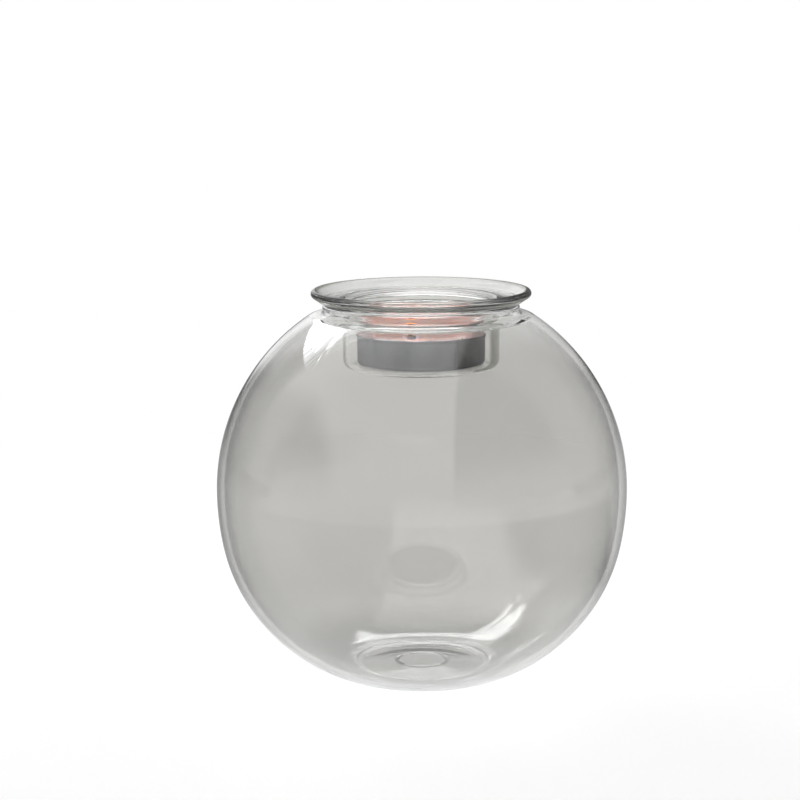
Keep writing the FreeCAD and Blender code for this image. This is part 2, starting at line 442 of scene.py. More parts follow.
@dataclass(frozen=True)
class PressedMetal(Finish):
    """Thin pressed sheet with a satin skin, rubbed marks and small dents.

    Attributes:
        colour: Colour of the clean sheet.
        dull_colour: Colour where it is rubbed.
        roughness: Roughness of the clean sheet.
        dent_depth: Depth of the dents.
        painted_shade_from: Place across from which painted shade darkens the sheet, if it does.
        patch_size: Width of the rubbed patches.
        line_size: Width of the drawn lines.
    """

    colour: Colour
    dull_colour: Colour
    roughness: float
    dent_depth: float
    painted_shade_from: float | None = None
    patch_size: float = 6.0
    line_size: float = 0.5

    def sockets(self, tree: Tree) -> dict[str, Any]:
        """Rub and dent the sheet, and paint shade over one side of it where asked.

        Args:
            tree: The material's nodes.

        Returns:
            The values and links of the shader's sockets.
        """
        patches = tree.grain(self.patch_size, 4.0, (1.0, 1.0, 0.4))
        drawn = tree.grain(self.line_size, 3.0, (1.0, 1.0, 0.08))
        rubbed = patches.rise(0.35, 0.7)
        colour = tree.mix(rubbed, self.colour, self.dull_colour)
        # Painted shade: from that place to the right the sheet turns nearly black, the dark
        # reflection on that side painted in.
        if self.painted_shade_from is not None:
            across = tree.spot()[0] + 1.5 * (patches - 0.5)
            painted_shade_share = across.rise(self.painted_shade_from, self.painted_shade_from + 2.0) * 0.95
            colour = tree.mix(painted_shade_share, colour, tuple(0.04 * part for part in self.colour))
        return {
            "Base Color": colour,
            "Metallic": 1.0,
            "Specular Tint": (0.35, 0.35, 0.38, 1.0),
            "Roughness": self.roughness + 0.12 * rubbed + 0.06 * drawn,
            "Normal": tree.bump(0.75 * patches + 0.25 * drawn, self.dent_depth),
        }


@dataclass(frozen=True)
class CandleWax(Finish):
    """Coloured wax that light goes into, deeper where it is thick and wet in the pool."""

    pale: Colour
    deep: Colour
    soaked: Colour
    pool_level: float
    glow_depth: float
    cloud_size: float = 5.0
    frost_size: float = 0.7
    run_size: float = 2.2

    def sockets(self, tree: Tree) -> dict[str, Any]:
        """Mottle the wax, and wet it in the pool.

        Args:
            tree: The material's nodes.

        Returns:
            The values and links of the shader's sockets.
        """
        height = tree.spot()[2] - self.pool_level
        cloud = tree.grain(self.cloud_size, 4.0)
        frost = tree.grain(self.frost_size, 5.0)
        runs = tree.grain(self.run_size, 4.0, (1.0, 1.0, 0.2))
        mottled = (0.6 * cloud + 0.4 * runs).rise(0.38, 0.66) * 0.75
        colour = tree.mix(mottled, self.pale, self.deep)
        colour = tree.mix(height.fall(0.4, 3.2) * (0.35 + 0.3 * cloud), colour, self.soaked)
        wet = height.fall(0.2, 0.9)
        return {
            "Base Color": colour,
            "Roughness": 0.5 - 0.34 * wet + 0.12 * frost * (1.0 - wet),
            "IOR": 1.44,
            "Subsurface Weight": 0.75,
            "Subsurface Radius": (1.0, 0.45, 0.38),
            "Subsurface Scale": self.glow_depth * MM,
            "Coat Weight": wet * 0.6,
            "Coat Roughness": 0.08,
            "Normal": tree.bump((0.7 * cloud + 0.3 * frost) * (1.0 - 0.85 * wet), 0.12),
        }


@dataclass(frozen=True)
class CharredThread(Finish):
    """Cotton thread: charred black, soaked below and glowing dull red near its tip."""

    char: Colour
    soaked: Colour
    ember: Colour
    low: float
    high: float
    fibre_size: float = 0.22

    def sockets(self, tree: Tree) -> dict[str, Any]:
        """Char the thread above the pool and let its upper half glow.

        Args:
            tree: The material's nodes.

        Returns:
            The values and links of the shader's sockets.
        """
        above = tree.spot()[2]
        fibres = tree.grain(self.fibre_size, 4.0)
        charred = above.rise(self.low + 0.6, self.low + 1.8)
        hot = above.rise((self.low + self.high) / 2.0, self.high) * fibres.rise(0.3, 0.6)
        return {
            "Base Color": tree.mix(charred, self.soaked, self.char),
            "Roughness": 0.7 + 0.25 * fibres,
            "Emission Color": tree.mix(hot, (0.0, 0.0, 0.0), self.ember),
            "Emission Strength": 1.0,
            "Normal": tree.bump(fibres, 0.08),
        }


@dataclass(frozen=True)
class FlameGlow(Finish):
    """A small flame: lilac at its foot, clear round the wick and orange at its tip."""

    foot: Colour
    middle: Colour
    tip: Colour
    low: float
    high: float

    def sockets(self, tree: Tree) -> dict[str, Any]:
        """Colour the flame by height, with a clear skin below and a full body above.

        Args:
            tree: The material's nodes.

        Returns:
            The values and links of the shader's sockets.
        """
        height = (tree.spot()[2] - self.low) * (1.0 / (self.high - self.low))
        stops = [(0.0, self.foot), (0.6, self.middle), (0.74, self.tip), (1.0, self.tip)]
        skin = tree.facing().rise(0.2, 0.75) * 0.75
        return {
            "Base Color": (0.0, 0.0, 0.0, 1.0),
            "Roughness": 1.0,
            "Specular IOR Level": 0.0,
            "IOR": 1.0,
            "Alpha": skin.most(height.rise(0.55, 0.72) * 0.9),
            "Emission Color": tree.value("ShaderNodeValToRGB", {"stops": stops}, {0: height}),
            "Emission Strength": 1.0,
        }


# Half sections and meshes.


@dataclass(frozen=True)
class Arc:
    """A round stretch of a half section, from one angle to another in degrees."""

    radius: float
    height: float
    size: float
    start: float
    end: float

    def points(self) -> Section:
        """Give points along the arc, close enough for a smooth mesh.

        Returns:
            The points, with both ends.
        """
        turn = self.end - self.start
        step = min(ARC_DEGREES, math.degrees(ARC_STEP / self.size))
        count = max(2, math.ceil(abs(turn) / step))
        angles = [math.radians(self.start + turn * index / count) for index in range(count + 1)]
        return [
            (self.radius + self.size * math.cos(a), self.height + self.size * math.sin(a))
            for a in angles
        ]


def rounded(corners: Sequence[Triple]) -> Section:
    """Round the corners of an open run of straight lines.

    Args:
        corners: Radius, height and rounding of each corner, in order.

    Returns:
        The points of the run, with arcs at its rounded corners.
    """
    section: Section = []
    for index, (radius, height, rounding) in enumerate(corners):
        corner = Vector((radius, height))
        if rounding <= 0.0 or index in (0, len(corners) - 1):
            section.append((radius, height))
            continue
        before = (Vector(corners[index - 1][:2]) - corner).normalized()
        after = (Vector(corners[index + 1][:2]) - corner).normalized()
        half = before.angle(after) / 2.0
        centre = corner + (before + after).normalized() * (rounding / math.sin(half))
        first = corner + before * (rounding / math.tan(half)) - centre
        last = corner + after * (rounding / math.tan(half)) - centre
        turn = -math.degrees(first.angle_signed(last))
        start = math.degrees(math.atan2(first.y, first.x))
        section += Arc(centre.x, centre.y, rounding, start, start + turn).points()
    return section


def evened(section: Section, longest: float) -> Section:
    """Split the long stretches of a section.

    Args:
        section: The points.
        longest: How long a stretch may be.

    Returns:
        The points with more between them.
    """
    result = [section[0]]
    for (radius, height), end in zip(section, section[1:]):
        parts = max(1, math.ceil(math.dist((radius, height), end) / longest))
        for part in range(1, parts + 1):
            share = part / parts
            result.append((radius + (end[0] - radius) * share, height + (end[1] - height) * share))
    return result


def add_piece(
    name: str,
    vertices: Sequence[Sequence[float]],
    faces: Sequence[Sequence[int]],
    finish: Finish,
    slot: Slot | None = None,
    node: str | None = None,
) -> bpy.types.Object:
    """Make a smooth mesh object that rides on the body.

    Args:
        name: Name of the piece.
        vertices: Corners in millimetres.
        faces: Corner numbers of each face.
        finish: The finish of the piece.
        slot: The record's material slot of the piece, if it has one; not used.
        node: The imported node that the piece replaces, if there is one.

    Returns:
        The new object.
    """
    mesh = bpy.data.meshes.new(name)
    mesh.from_pydata([[axis * MM for axis in vertex] for vertex in vertices], [], faces)
    mesh.validate()
    mesh.shade_smooth()
    mesh.materials.append(finish.material())
    piece = bpy.data.objects.new(name, mesh)
    bpy.context.scene.collection.objects.link(piece)
    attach(piece, BODY)
    if node:
        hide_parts(node)
    LOG.info("%s: %d vertices, %d faces", name, len(mesh.vertices), len(mesh.polygons))
    return piece


def swept(section_at: Callable[[float], Section], segments: int) -> tuple[list, list]:
    """Sweep a half section that may change round the axis into a closed mesh.

    Args:
        section_at: Gives the section at an angle, from the axis below to the axis above,
            always with the same number of points.
        segments: Number of steps round the axis.

    Returns:
        The vertices and the faces.
    """
    angles = [math.tau * index / segments for index in range(segments)]
    rings = [section_at(angle) for angle in angles]
    rows = len(rings[0]) - 2
    vertices: list = []
    for angle, ring in zip(angles, rings):
        vertices += [(r * math.cos(angle), r * math.sin(angle), z) for r, z in ring[1:-1]]
    low, high = len(vertices), len(vertices) + 1
    vertices += [(0.0, 0.0, rings[0][0][1]), (0.0, 0.0, rings[0][-1][1])]
    faces: list = []
    for index in range(segments):
        here, there = index * rows, (index + 1) % segments * rows
        faces.append((low, there, here))
        faces += [(here + j, there + j, there + j + 1, here + j + 1) for j in range(rows - 1)]
        faces.append((here + rows - 1, there + rows - 1, high))
    return vertices, faces


def turned(section: Section, segments: int) -> tuple[list, list]:
    """Turn a half section about the axis into a closed mesh."""
    return swept(lambda angle: section, segments)


# Sub-assemblies.


@dataclass(frozen=True)
class Globe:
    """The blown globe: a flat foot, a full side, a flattened shoulder and a rounded lip."""

    radius: float = 62.35
    base_radius: float = 24.2
    fullness: float = 1.17
    side_size: float = 83.0
    side_turn: float = 11.5
    wall: float = 2.2
    floor: float = 2.6
    heel_round: float = 16.0
    inner_heel_round: float = 14.0
    shoulder_radius: float = 33.4
    collar_radius: float = 29.7
    ledge_rise: float = 0.5
    collar_height: float = 2.8
    shoulder_round: float = 4.0
    root_round: float = 1.2
    ring_width: float = 2.5
    hollow_depth: float = 1.1
    mark_radius: float = 7.5
    mark_depth: float = 0.3
    step: float = 1.6
    segments: int = 240
    glass: BlownGlass = BlownGlass(
        name="smoke_grey_blown_glass",
        low_tint=(0.69, 0.685, 0.67),
        high_tint=(0.82, 0.82, 0.81),
        fade=(101.0, 112.0),
        foot_tint=(0.52, 0.52, 0.515),
        foot_fade=(3.0, 12.0),
        # Painted shade at the edges seen edge on, partly the longer path through the tint.
        edge_shade_tint=(0.05, 0.05, 0.047),
        edge_shade_from=0.62,
        edge_shade_to=0.88,
        wave_size=38.0,
        wave_depth=0.10,
        # Painted shade just inside the edge, partly the longer path through the tint.
        slope_shade_tint=(0.57, 0.57, 0.555),
        slope_shade_from=0.38,
        # Painted shade lopsided towards the right.
        right_shade_slip=0.04,
        edge_band=(3.0, 20.0, 92.0, 100.0),
        rings=(7.5, 20.8),
    )

    @property
    def equator(self) -> float:
        """Height of the widest place."""
        return math.sqrt(self.radius**2 - self.base_radius**2)

    @property
    def ledge_height(self) -> float:
        """Height of the ledge at the collar's root."""
        upper, reach = self.radius + self.fullness, self.shoulder_radius + self.fullness
        return self.equator + math.sqrt(upper**2 - reach**2) + self.ledge_rise

    @property
    def lip_height(self) -> float:
        """Height of the lip."""
        return self.ledge_height + self.collar_height

    @property
    def lip_centre(self) -> Point:
        """Centre of the lip's rounding."""
        return self.collar_radius - self.wall / 2.0, self.lip_height - self.wall / 2.0

    def _lower(self) -> Triple:
        """Find the side's lower arc, which ends at the base's radius.

        Returns:
            Radius and height of its centre, and its size.
        """
        turn = math.radians(self.side_turn)
        radius = self.radius - self.side_size * (1.0 - math.cos(turn))
        height = self.equator - self.side_size * math.sin(turn)
        across, above = self.base_radius - radius, -height
        inward = above * math.sin(turn) - across * math.cos(turn)
        size = (across**2 + above**2) / (2.0 * inward)
        return radius - size * math.cos(turn), height + size * math.sin(turn), size

    def _heel(self, inset: float, level: float, rounding: float) -> tuple[Arc, float]:
        """Find the rounding between a flat level and the lower arc.

        Args:
            inset: How far the lower arc is set in from the outside.
            level: Height of the flat.
            rounding: Size of the rounding.

        Returns:
            The rounding as an arc, and the angle at which the lower arc meets it.
        """
        across, above, size = self._lower()
        height = level + rounding
        radius = across + math.sqrt((size - inset - rounding) ** 2 - (above - height) ** 2)
        meeting = math.degrees(math.atan2(height - above, radius - across))
        return Arc(radius, height, rounding, -90.0, meeting), meeting

    def _shoulder(self) -> tuple[Arc, Arc, float]:
        """Find the roundings of the shoulder and of the collar's root.

        Returns:
            The two arcs, and the angle at which the upper arc meets the first.
        """
        lean = math.atan2(self.ledge_rise, self.shoulder_radius - self.collar_radius)
        size = self.shoulder_round
        line = Vector((-math.cos(lean), math.sin(lean)))
        centre = Vector((-self.fullness, self.equator))
        corner = Vector((self.shoulder_radius, self.ledge_height - self.ledge_rise))
        base = corner - size * Vector((math.sin(lean), math.cos(lean)))
        gap = base - centre
        reach = self.radius + self.fullness - size
        along = gap.dot(line)
        half = math.sqrt(along**2 - (gap.dot(gap) - reach**2))
        middle = base + min(half - along, -half - along, key=abs) * line
        meeting = math.degrees(math.atan2(middle.y - centre.y, middle.x - centre.x))
        flat = 90.0 - math.degrees(lean)
        crown = Arc(middle.x, middle.y, size, meeting, flat)
        on_ledge = self.ledge_height - self.root_round * math.tan(lean)
        root_height = on_ledge + self.root_round / math.cos(lean)
        root_radius = self.collar_radius + self.root_round
        return crown, Arc(root_radius, root_height, self.root_round, 180.0 + flat, 180.0), meeting

    def _underside(self, ring: float) -> Section:
        """Hollow the foot, with the round mark of making in its middle.

        Args:
            ring: Radius at which the foot stands.

        Returns:
            Points from the axis to the ring.
        """
        rim = ring - self.ring_width
        dome = (rim**2 + self.hollow_depth**2) / (2.0 * self.hollow_depth)
        height = self.hollow_depth - dome
        mark, slant = self.mark_radius, 0.3
        top = self.hollow_depth + self.mark_depth
        edge = (mark + slant, height + math.sqrt(dome**2 - (mark + slant) ** 2), 0.0)
        start = math.degrees(math.acos((mark + slant) / dome))
        stop = math.degrees(math.acos((rim - slant) / dome))
        section = rounded([(0.0, top, 0.0), (mark, top, self.mark_depth), edge])
        section += Arc(0.0, height, dome, start, stop).points()
        return section + [(rim - 0.1, 0.02), (rim + 0.1, 0.0)]

    def section(self) -> Section:
        """Give the whole half section of the glass.

        Returns:
            Points from the middle of the underside, up the outside, down the inside.
        """
        across, above, size = self._lower()
        heel, heel_meets = self._heel(0.0, 0.0, self.heel_round)
        inside, inside_meets = self._heel(self.wall, self.floor, self.inner_heel_round)
        crown, root, crown_meets = self._shoulder()
        side, turn = self.radius - self.side_size, self.side_turn
        upper = self.radius + self.fullness
        neck_round = self.root_round + self.wall
        crown_round = self.shoulder_round - self.wall
        section = self._underside(heel.radius) + heel.points()
        section += Arc(across, above, size, heel_meets, -turn).points()[1:]
        section += Arc(side, self.equator, self.side_size, -turn, 0.0).points()[1:]
        section += Arc(-self.fullness, self.equator, upper, 0.0, crown_meets).points()[1:]
        section += crown.points()[1:]
        section += root.points()
        section += Arc(*self.lip_centre, self.wall / 2.0, 0.0, 180.0).points()
        section += Arc(root.radius, root.height, neck_round, 180.0, root.start).points()
        section += Arc(crown.radius, crown.height, crown_round, crown.end, crown_meets).points()
        for arc in (
            Arc(-self.fullness, self.equator, upper - self.wall, crown_meets, 0.0),
            Arc(side, self.equator, self.side_size - self.wall, 0.0, -turn),
            Arc(across, above, size - self.wall, -turn, inside_meets),
            Arc(inside.radius, inside.height, inside.size, inside_meets, -90.0),
        ):
            section += arc.points()[1:]
        section.append((0.0, self.floor))
        return evened(section, self.step)

    def build(self) -> bpy.types.Object:
        """Turn the globe and dress it."""
        shape = turned(self.section(), self.segments)
        return add_piece("globe_blown", *shape, self.glass, Slot.GLOBE, "globe")


@dataclass(frozen=True)
class Lid:
    """The lid: a flange with an upturned rim, and the candle cup that hangs from it."""

    globe: Globe
    cup_inner: float = 21.8
    wall: float = 1.8
    cup_drop: float = 19.7
    floor: float = 1.1
    cup_round: float = 3.0
    inner_round: float = 1.9
    flange_wall: float = 2.0
    flange_angle: float = 3.0
    flange_reach: float = 0.1
    flange_root_round: float = 1.2
    mouth_round: float = 1.4
    rim_wall: float = 2.4
    rim_angle: float = 34.0
    rim_turn_round: float = 2.5
    rim_overhang: float = 3.5
    seat_gap: float = 0.15
    step: float = 1.2
    segments: int = 288
    glass: BlownGlass = BlownGlass(
        name="clear_lid_glass",
        low_tint=(0.86, 0.86, 0.85),
        high_tint=(0.70, 0.705, 0.685),
        fade=(111.0, 114.5),
        foot_tint=(0.955, 0.955, 0.945),
        foot_fade=(103.0, 106.0),
        # Painted shade at the edges seen edge on, partly the longer path through the tint.
        edge_shade_tint=(0.11, 0.117, 0.083),
        edge_shade_from=0.35,
        edge_shade_to=0.75,
        wave_size=30.0,
        wave_depth=0.01,
        rim_radius=31.4,
        cup_radius=22.9,
        cup_height=110.0,
    )

    @property
    def bottom(self) -> float:
        """Height of the cup's underside."""
        return self.globe.lip_height - self.cup_drop

    @property
    def seat(self) -> float:
        """Height on which the candle stands."""
        return self.bottom + self.floor

    def section(self) -> Section:
        """Give the half section of the lid.

        Returns:
            Points from its underside's middle, round the rim, to the cup floor's.
        """
        lean, rise = math.radians(self.flange_angle), math.radians(self.rim_angle)
        lip = self.globe.lip_centre
        outer = self.cup_inner + self.wall
        reach = self.globe.wall / 2.0 + self.seat_gap
        seat_radius = lip[0] - reach * math.sin(lean)
        seat_height = lip[1] + reach * math.cos(lean)
        under = seat_height - seat_radius * math.tan(lean)
        turn = self.globe.collar_radius + self.flange_reach
        turn_height = under + turn * math.tan(lean)
        bead = self.rim_wall / 2.0
        bead_radius = self.globe.collar_radius + self.rim_overhang - bead
        bead_height = (
            turn_height + (bead_radius - turn) * math.tan(rise) + bead / math.cos(rise)
        )
        end = (bead_radius + bead * math.cos(rise), bead_height + bead * math.sin(rise))
        across, above = bead * math.sin(rise), bead * math.cos(rise)
        top = under + self.flange_wall / math.cos(lean)
        gain = turn_height - turn * math.tan(rise) + self.rim_wall / math.cos(rise) - top
        inner_turn = gain / (math.tan(lean) - math.tan(rise))
        corners = [
            (0.0, self.bottom, 0.0),
            (outer, self.bottom, self.cup_round),
            (outer, under + outer * math.tan(lean), self.flange_root_round),
            (turn, turn_height, self.rim_turn_round),
            (end[0] + across, end[1] - above, bead),
            (end[0] - across, end[1] + above, bead),
            (inner_turn, top + inner_turn * math.tan(lean), self.rim_turn_round),
            (self.cup_inner, top + self.cup_inner * math.tan(lean), self.mouth_round),
            (self.cup_inner, self.seat, self.inner_round),
            (0.0, self.seat, 0.0),
        ]
        return evened(rounded(corners), self.step)

    def build(self) -> bpy.types.Object:
        """Turn the lid and dress it."""
        shape = turned(self.section(), self.segments)
        return add_piece("lid_cup", *shape, self.glass, Slot.LID, "lid")


@dataclass(frozen=True)
class MetalCup:
    """The pressed metal cup of the candle, with its curled lip."""

    seat: float
    radius: float = 19.25
    height: float = 9.5
    sheet: float = 0.3
    corner_round: float = 1.9
    panel_margin: float = 4.75
    panel_rise: float = 0.6
    panel_round: float = 0.4
    lip_wave: float = 0.16
    wave_reach: float = 1.5
    step: float = 0.8
    segments: int = 256
    metal: PressedMetal = PressedMetal(
        name="satin_candle_tin",
        colour=(0.31, 0.325, 0.35),
        dull_colour=(0.21, 0.225, 0.25),
        roughness=0.26,
        dent_depth=0.10,
        # Painted shade on the right side, from 9 mm across.
        painted_shade_from=9.0,
    )

    @property
    def lip_level(self) -> float:
        """Height of the curled lip."""
        return self.seat + self.height

    def panel(self, offset: float) -> list[Triple]:
        """Give the corners of the pressed floor, as the wax also uses them.

        Args:
            offset: How far they are set in from the outside.

        Returns:
            Radius, height and rounding of each corner.
        """
        panel_radius = self.radius - self.panel_margin
        top = self.seat + self.panel_rise + offset
        return [
            (0.0, top, 0.0),
            (panel_radius, top, self.panel_round),
            (panel_radius + self.panel_rise, self.seat + offset, self.panel_round),
            (self.radius - offset, self.seat + offset, self.corner_round - offset),
        ]

    def section(self) -> Section:
        """Give the half section.

        Returns:
            Points from the underside's middle, round the curl, to the inside's.
        """
        brink = self.lip_level - self.sheet
        curl = Arc(self.radius, brink, self.sheet, -70.0, 180.0)
        outside = rounded([*self.panel(0.0), (self.radius, brink - self.sheet, 0.0)])
        inner = (self.radius - self.sheet, brink, 0.0)
        inside = rounded([inner, *reversed(self.panel(self.sheet))])
        return evened([*outside, *curl.points(), *inside[1:]], self.step)

    def build(self) -> bpy.types.Object:
        """Press the cup with a lip that is a little uneven, and dress it.

        Returns:
            The metal cup.
        """
        section = self.section()
        start = self.lip_level - self.wave_reach

        def section_at(angle: float) -> Section:
            """Wave the lip by less than its own thickness.

            Args:
                angle: Angle round the axis.

            Returns:
                The section there.
            """
            wave = noise.noise(Vector((math.cos(angle) * 4.0, math.sin(angle) * 4.0, 3.0)))
            drop = self.lip_wave * (0.5 + wave)
            return [
                (r, z - drop * min(1.0, max(0.0, z - start) / self.wave_reach)) for r, z in section
            ]

        shape = swept(section_at, self.segments)
        return add_piece("candle_tin", *shape, self.metal, Slot.METAL, "candle_cup")


@dataclass(frozen=True)
class Wax:
    """The wax: a wall round the back, a pool, and a front that has melted low."""

    tin: MetalCup
    gap: float = 0.05
    stand: float = 4.1
    wall: float = 1.9
    wall_slope: float = 1.2
    pool_drop: float = 2.2
    front_half: float = 52.0
    front_drop: float = 0.25
    skirt: float = 3.0
    wick_place: float = -2.9
    mound: float = 0.55
    mound_width: float = 1.9
    lump_height: float = 0.10
    segments: int = 420
    wax: CandleWax = CandleWax(
        name="pink_candle_wax",
        pale=(0.93, 0.775, 0.765),
        deep=(0.87, 0.64, 0.625),
        soaked=(0.80, 0.50, 0.485),
        pool_level=102.75,
        glow_depth=2.0,
    )

    @property
    def pool_level(self) -> float:
        """Height of the pool."""
        return self.tin.lip_level - self.pool_drop

    def _wall_top(self, angle: float) -> float:
        """Find the wall's top: full at the back, melted away in front.

        Args:
            angle: Angle round the axis.

        Returns:
            Its height.
        """
        front = abs(math.degrees(math.remainder(angle + math.pi / 2.0, math.tau)))
        spot = Vector((math.cos(angle) * 5.0, math.sin(angle) * 5.0, 1.7))
        ragged = noise.fractal(spot, 0.8, 2.0, 4)
        edge = front - self.front_half + 4.0 * ragged
        share = min(1.0, max(0.0, (edge + 1.5) / 3.0))
        share = share * share * (3.0 - 2.0 * share)
        low = self.tin.lip_level - self.front_drop + 0.12 * ragged
        high = self.tin.lip_level + self.stand - 0.12 - 0.22 * abs(ragged)
        return low + (high - low) * share

    def _pool(self, angle: float, reach: float) -> Section:
        """Give the pool's surface: a little lumpy, and drawn up round the wick.

        Args:
            angle: Angle round the axis.
            reach: Radius from which the surface runs in.

        Returns:
            Points from there to the axis.
        """
        section: Section = []
        steps = 22
        for step in range(1, steps):
            radius = reach * (1.0 - step / steps)
            place = Vector((math.cos(angle) * radius, math.sin(angle) * radius, 0.0))
            lump = noise.fractal(place * 0.35 + 5.0 * UP, 0.9, 2.0, 3)
            across = (place.x - self.wick_place) / self.mound_width
            near = math.exp(-(across**2 + (place.y / self.mound_width) ** 2))
            height = self.pool_level + self.lump_height * lump + self.mound * near
            section.append((radius, height))
        near = math.exp(-((self.wick_place / self.mound_width) ** 2))
        section.append((0.0, self.pool_level + self.mound * near))
        return section

    def section_at(self, angle: float) -> Section:
        """Give the half section of the wax.

        Args:
            angle: Angle round the axis.

        Returns:
            Points from the underside's middle, over the wall, to the pool's.
        """
        tin, pool = self.tin, self.pool_level
        offset = tin.sheet + self.gap
        outer = tin.radius - offset
        wave = noise.noise(Vector((math.cos(angle) * 3.0, math.sin(angle) * 3.0, 8.0)))
        top = self._wall_top(angle)
        share = (top - pool) / (tin.lip_level + self.stand - pool)
        inner = outer - self.wall - 0.25 * wave
        foot = inner - self.wall_slope * share - 0.35 * wave
        edge = min(0.6, 0.45 * (top - pool))
        skirt = tin.seat + self.skirt
        section = evened(rounded([*tin.panel(offset), (outer, skirt, 0.0)]), 2.0)
        steps = 14
        section += [
            (outer, skirt + (top - edge - skirt) * s / steps) for s in range(1, steps + 1)
        ]
        section += Arc(outer - edge, top - edge, edge, 0.0, 90.0).points()[1:][:10]
        section += Arc(inner + edge, top - edge, edge, 90.0, 180.0).points()[:10]
        drop = top - edge - pool
        section += [
            (inner + (foot - inner) * s / 10.0, pool + drop * (1.0 - s / 10.0))
            for s in range(1, 8)
        ]
        radius, height = section[-1]
        inward = radius - foot + 1.6
        section += [
            (radius - inward * s / 8.0, pool + (height - pool) * (1.0 - s / 8.0) ** 2.2)
            for s in range(1, 9)
        ]
        return section + self._pool(angle, section[-1][0])

    def build(self) -> bpy.types.Object:
        """Cast the wax and dress it."""
        shape = swept(self.section_at, self.segments)
        return add_piece("wax_body", *shape, self.wax, Slot.WAX, "candle_wax")


@dataclass(frozen=True)
class Wick:
    """The charred wick of three twisted strands, and its sheet metal foot."""

    pool_level: float
    place: float = -2.9
    root: float = 6.0
    stand: float = 5.0
    lean: float = 2.0
    strands: int = 3
    strand: float = 0.4
    twist_radius: float = 0.34
    twist_length: float = 3.4
    bow: float = 0.35
    bow_from: float = 0.6
    tight_from: float = 0.85
    taper_from: float = 0.93
    rows: int = 72
    sides: int = 12
    foot_metal: PressedMetal = PressedMetal(
        name="tinned_foot_sheet",
        colour=(0.45, 0.46, 0.48),
        dull_colour=(0.30, 0.30, 0.31),
        roughness=0.35,
        dent_depth=0.05,
    )

    def _middle(self, strand: int, height: float, share: float) -> Vector:
        """Find the middle of a strand.

        Args:
            strand: Number of the strand.
            height: Height of the place.
            share: The same as a share of the wick's length.

        Returns:
            The middle there.
        """
        away = math.tan(math.radians(self.lean)) * (self.stand + self.root) * share
        bow = self.bow * max(0.0, share - self.bow_from) ** 2
        turn = math.tau * (height / self.twist_length + strand / self.strands)
        drawn_in = max(0.0, share - self.tight_from) / (1.0 - self.tight_from)
        tight = self.twist_radius * (1.0 - 0.35 * drawn_in)
        across = self.place - away + math.cos(turn) * tight - bow
        return Vector((across, math.sin(turn) * tight, height))

    def build(self) -> bpy.types.Object:
        """Twist the strands from under the wax to the tip, and dress wick and foot.

        Returns:
            The wick.
        """
        low, high = self.pool_level - self.root, self.pool_level + self.stand
        rows, sides = self.rows, self.sides
        vertices: list = []
        faces: list = []
        for strand in range(self.strands):
            first = len(vertices)
            for row in range(rows):
                height = low + (high - low - 0.05 * strand) * row / (rows - 1)
                share = (height - low) / (high - low)
                middle = self._middle(strand, height, share)
                near_tip = max(0.0, share - self.taper_from) / (1.0 - self.taper_from)
                taper = 1.0 - 0.55 * near_tip
                size = self.strand * taper * (1.0 + 0.10 * noise.noise(middle * 2.1))
                for side in range(sides):
                    angle = math.tau * side / sides
                    away = Vector((math.cos(angle), math.sin(angle), 0.0))
                    vertices.append(tuple(middle + size * away))
            for row in range(rows - 1):
                here, there = first + row * sides, first + (row + 1) * sides
                for side in range(sides):
                    after = (side + 1) % sides
                    faces.append((here + side, here + after, there + after, there + side))
            faces.append(tuple(first + side for side in reversed(range(sides))))
            faces.append(tuple(first + (rows - 1) * sides + side for side in range(sides)))
        thread = CharredThread(
            name="charred_cotton",
            char=(0.035, 0.022, 0.020),
            soaked=(0.30, 0.16, 0.14),
            ember=(0.50, 0.055, 0.03),
            low=self.pool_level,
            high=high,
        )
        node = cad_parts["wick_foot"]
        node.data.materials.clear()
        node.data.materials.append(self.foot_metal.material())
        return add_piece("wick_strands", vertices, faces, thread, Slot.THREAD, "wick")


